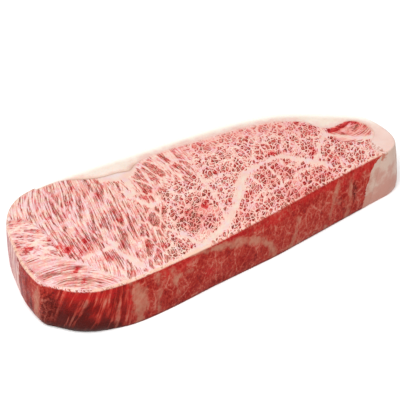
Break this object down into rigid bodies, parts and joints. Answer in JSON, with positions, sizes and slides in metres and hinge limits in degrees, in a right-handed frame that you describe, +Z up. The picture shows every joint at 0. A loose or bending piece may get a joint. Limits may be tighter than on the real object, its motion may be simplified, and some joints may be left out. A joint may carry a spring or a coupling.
{
  "type": "raw beef striploin",
  "caption": "Thick-cut slab of raw, heavily marbled beef striploin lying on its cut face, with a fat cap along the far side and round the narrow end; food for cooking.",
  "frame": {"origin": "middle of the part's box, on the face it rests on", "axes": "+X along the steak to the narrow end that the fat cap wraps, +Y across it to the side the fat cap runs along, +Z up through its thickness"},
  "size_m": [0.2529, 0.1046, 0.0339],
  "materials": {
    "marbled_lean": "moist raw beef, red lean finely marbled with pale fat",
    "back_fat": "firm cream-white back fat, waxy"
  },
  "bodies": {
    "root": {"lean": "marbled_lean", "fat_cap": "back_fat"}
  },
  "joints": []
}
